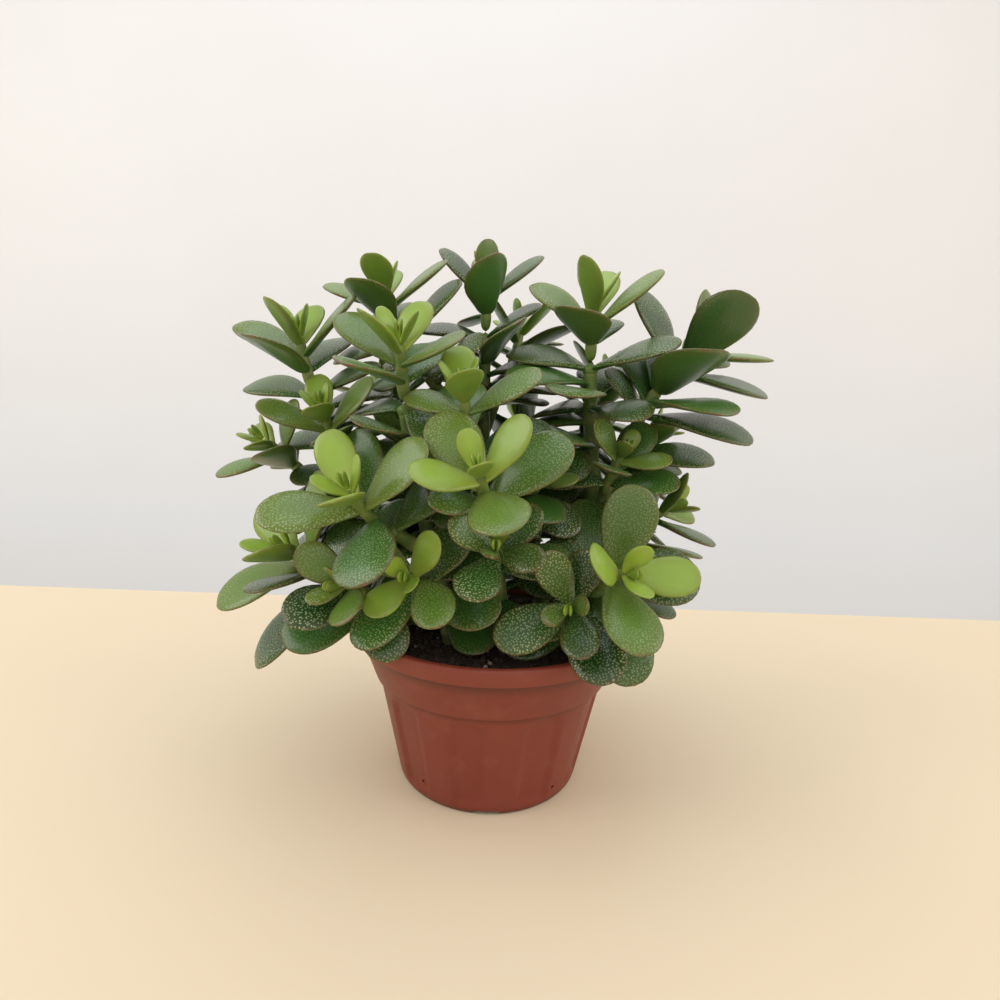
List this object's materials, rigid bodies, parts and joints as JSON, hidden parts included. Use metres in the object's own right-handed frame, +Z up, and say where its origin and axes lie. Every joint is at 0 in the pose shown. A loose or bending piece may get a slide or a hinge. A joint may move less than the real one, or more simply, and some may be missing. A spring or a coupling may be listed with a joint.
{
  "type": "potted jade plant",
  "caption": "Bushy succulent with thick oval opposite leaves on green stems, rooted in dark potting soil in a fluted terracotta-coloured plastic nursery pot.",
  "frame": {"origin": "centre of the pot's underside, on the surface that it stands on", "axes": "+Z up, -Y towards the front of the plant, +X to the right seen from the front"},
  "size_m": [0.2527, 0.196, 0.2581],
  "materials": {
    "terracotta_plastic": "satin moulded polypropylene, orange-brown",
    "peat": "moist fibrous peat mix, near black",
    "green_stem": "smooth succulent stem, green, browner at the foot",
    "mature_leaf": "waxy fleshy leaf, dark green with pale dots and a reddish edge",
    "young_leaf": "waxy fleshy young leaf, bright yellow-green"
  },
  "bodies": {
    "root": {"leaf_pair_back_crown_1": "mature_leaf", "leaf_pair_back_left_1": "mature_leaf", "leaf_pair_back_mid_1": "mature_leaf", "leaf_pair_back_right_1": "mature_leaf", "leaf_pair_front_left_1": "mature_leaf", "leaf_pair_inner_left_1": "mature_leaf", "leaf_pair_left_crown_1": "mature_leaf", "leaf_pair_left_top_1": "mature_leaf", "leaf_pair_low_back_left_1": "mature_leaf", "leaf_pair_low_back_mid_1": "mature_leaf", "leaf_pair_low_back_right_1": "mature_leaf", "leaf_pair_low_left_1": "mature_leaf", "leaf_pair_low_right_1": "mature_leaf", "leaf_pair_mid_centre_1": "mature_leaf", "leaf_pair_mid_left_top_1": "mature_leaf", "leaf_pair_right_low_1": "mature_leaf", "leaf_pair_right_top_1": "mature_leaf", "leaf_pair_right_top_2": "mature_leaf", "pot": "terracotta_plastic", "potting_soil": "peat", "rosette_back_crown": "young_leaf", "rosette_back_left": "young_leaf", "rosette_back_mid": "young_leaf", "rosette_back_right": "young_leaf", "rosette_centre_front": "young_leaf", "rosette_crown": "young_leaf", "rosette_front_left": "young_leaf", "rosette_front_mid": "young_leaf", "rosette_inner_left": "young_leaf", "rosette_inner_right": "young_leaf", "rosette_left_crown": "young_leaf", "rosette_left_far": "young_leaf", "rosette_left_mid": "young_leaf", "rosette_left_top": "young_leaf", "rosette_low_back_left": "young_leaf", "rosette_low_back_mid": "young_leaf", "rosette_low_back_right": "young_leaf", "rosette_low_centre": "young_leaf", "rosette_low_far_left": "young_leaf", "rosette_low_front_left": "young_leaf", "rosette_low_left": "young_leaf", "rosette_low_mid_right": "young_leaf", "rosette_low_right": "young_leaf", "rosette_mid_centre": "young_leaf", "rosette_mid_left_top": "young_leaf", "rosette_right_far": "young_leaf", "rosette_right_low": "young_leaf", "rosette_right_mid": "young_leaf", "rosette_right_top": "young_leaf", "stem_a": "green_stem", "stem_b": "green_stem", "stem_c": "green_stem", "stem_d": "green_stem", "stem_e": "green_stem", "stem_f": "green_stem", "stem_g": "green_stem", "stem_h": "green_stem", "stem_i": "green_stem"}
  },
  "joints": []
}
